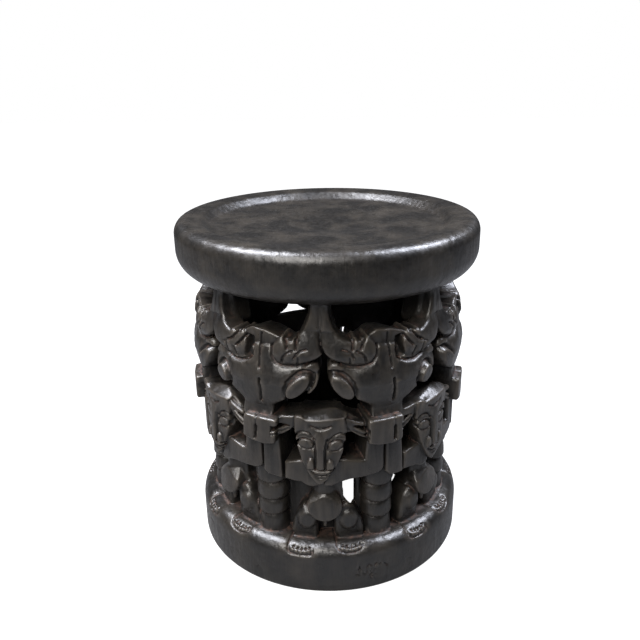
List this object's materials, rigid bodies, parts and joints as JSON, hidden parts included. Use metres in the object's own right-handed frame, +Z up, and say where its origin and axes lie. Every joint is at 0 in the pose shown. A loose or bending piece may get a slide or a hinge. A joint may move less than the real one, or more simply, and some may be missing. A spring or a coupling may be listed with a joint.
{
  "type": "carved stool",
  "caption": "Round stool carved from one log, its dished seat carried by horned heads that stand on the raised arms of squatting figures.",
  "frame": {"origin": "centre of the stool's round footprint, on the surface that it stands on", "axes": "+Z up through the middle of the seat; one squatting figure looks out along -Y"},
  "size_m": [0.35, 0.35, 0.405],
  "materials": {
    "waxed_wood": "dark stained, waxed and worn satin"
  },
  "bodies": {
    "root": {"stool": "waxed_wood"}
  },
  "joints": []
}
